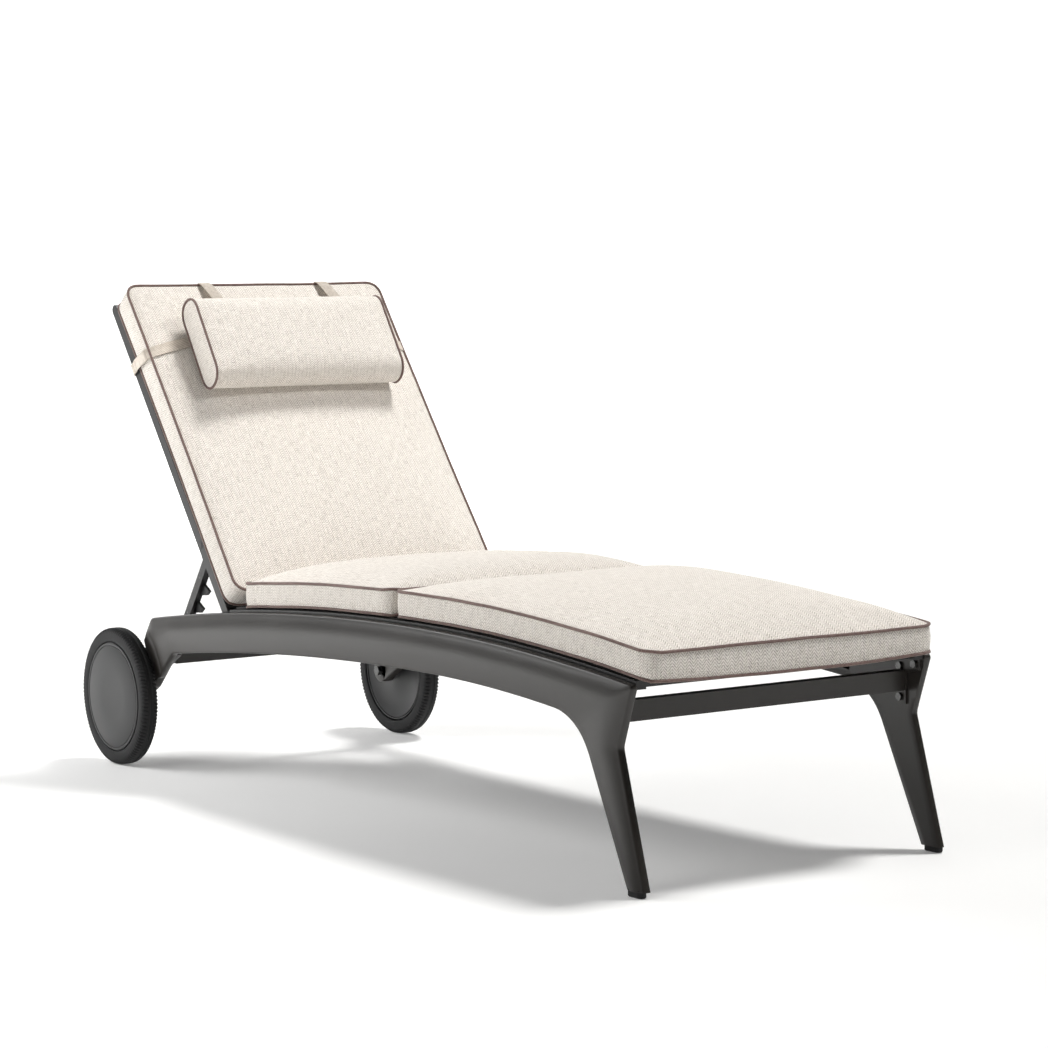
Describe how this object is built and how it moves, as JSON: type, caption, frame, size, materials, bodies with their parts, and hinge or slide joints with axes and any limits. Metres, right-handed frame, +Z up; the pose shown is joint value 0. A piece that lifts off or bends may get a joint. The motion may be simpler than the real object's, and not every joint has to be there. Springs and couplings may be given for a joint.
{
  "type": "reclining sun lounger",
  "caption": "Garden sun lounger with arched side frames, rear wheels, a notched reclining back, sling seat, boxed cushions and a headrest pillow.",
  "frame": {"origin": "on the floor under the middle of the bounding box, with the back up", "axes": "+X to the foot end, +Y to the user's left when lying on the lounger, +Z up"},
  "size_m": [2, 0.7428, 1.0395],
  "materials": {
    "cast_aluminium": "satin powder coat, charcoal",
    "dark_tube": "satin powder coat, near black",
    "stainless": "plain stainless steel",
    "bush_plastic": "moulded nylon",
    "glide_plastic": "moulded polyethylene",
    "hub_plastic": "fine satin, moulded",
    "tyre_rubber": "matt rubber",
    "rack_black": "black coated steel",
    "sling_mesh": "woven PVC-coated polyester mesh",
    "cushion_fabric": "herringbone weave, ecru",
    "piping": "bias-bound taupe piping cord",
    "webbing": "flat woven strap, stitched edges"
  },
  "bodies": {
    "base": {"left_side_frame": "cast_aluminium", "left_foot_glide": "glide_plastic", "left_seat_rail": "dark_tube", "left_hinge_plate": "dark_tube", "left_hinge_pin": "stainless", "left_axle_bolt": "stainless", "left_axle_nut": "stainless", "right_side_frame": "cast_aluminium", "right_foot_glide": "glide_plastic", "right_seat_rail": "dark_tube", "right_hinge_plate": "dark_tube", "right_hinge_pin": "stainless", "right_axle_bolt": "stainless", "right_axle_nut": "stainless", "front_crossbar": "cast_aluminium", "rear_crossbar": "cast_aluminium", "front_crossbar_bolts": "stainless", "rear_crossbar_bolts": "stainless", "seat_rail_bolts": "stainless", "hinge_plate_screws": "stainless", "prop_rest_bar": "dark_tube", "seat_front_rail": "dark_tube", "seat_mid_rail": "dark_tube", "seat_rear_rail": "dark_tube", "seat_sling": "sling_mesh", "seat_cushion": "cushion_fabric", "leg_cushion": "cushion_fabric"},
    "back": {"left_back_rail": "dark_tube", "left_hinge_bush": "bush_plastic", "left_prop_bush": "bush_plastic", "left_headrest_strap": "webbing", "right_back_rail": "dark_tube", "right_hinge_bush": "bush_plastic", "right_prop_bush": "bush_plastic", "right_headrest_strap": "webbing", "back_top_rail": "dark_tube", "back_mid_rail": "dark_tube", "back_bottom_rail": "dark_tube", "back_sling": "sling_mesh", "back_cushion": "cushion_fabric", "cross_strap": "webbing"},
    "props": {"left_prop_strut": "dark_tube", "left_prop_rack": "rack_black", "right_prop_strut": "dark_tube", "right_prop_rack": "rack_black", "prop_pivot_tube": "dark_tube", "prop_rack_rivets": "stainless"},
    "headrest": {"headrest_pillow": "cushion_fabric"},
    "left_wheel": {"left_wheel_hub": "hub_plastic", "left_wheel_cover": "hub_plastic", "left_tyre": "tyre_rubber", "left_wheel_bush": "bush_plastic"},
    "right_wheel": {"right_wheel_hub": "hub_plastic", "right_wheel_cover": "hub_plastic", "right_tyre": "tyre_rubber", "right_wheel_bush": "bush_plastic"}
  },
  "joints": [
    {"name": "back_recline", "type": "hinge", "parent": "base", "child": "back", "pos_m": [-0.441, 0, 0.342], "axis": [0, -1, 0], "range_deg": [0, 53]},
    {"name": "prop_fold", "type": "hinge", "parent": "back", "child": "props", "pos_m": [-0.55053, 0, 0.48735], "axis": [0, 1, 0], "range_deg": [0, 106]},
    {"name": "headrest_slide", "type": "slide", "parent": "back", "child": "headrest", "axis": [-0.6018, 0, 0.7986], "range_m": [-0.12, 0.06]},
    {"name": "left_wheel_spin", "type": "hinge", "parent": "base", "child": "left_wheel", "pos_m": [-0.853, 0.353, 0.147], "axis": [0, 1, 0], "continuous": true},
    {"name": "right_wheel_spin", "type": "hinge", "parent": "base", "child": "right_wheel", "pos_m": [-0.853, -0.353, 0.147], "axis": [0, 1, 0], "continuous": true}
  ],
  "couplings": [
    {"joint": "prop_fold", "follows": "back_recline", "ratio": 2}
  ]
}
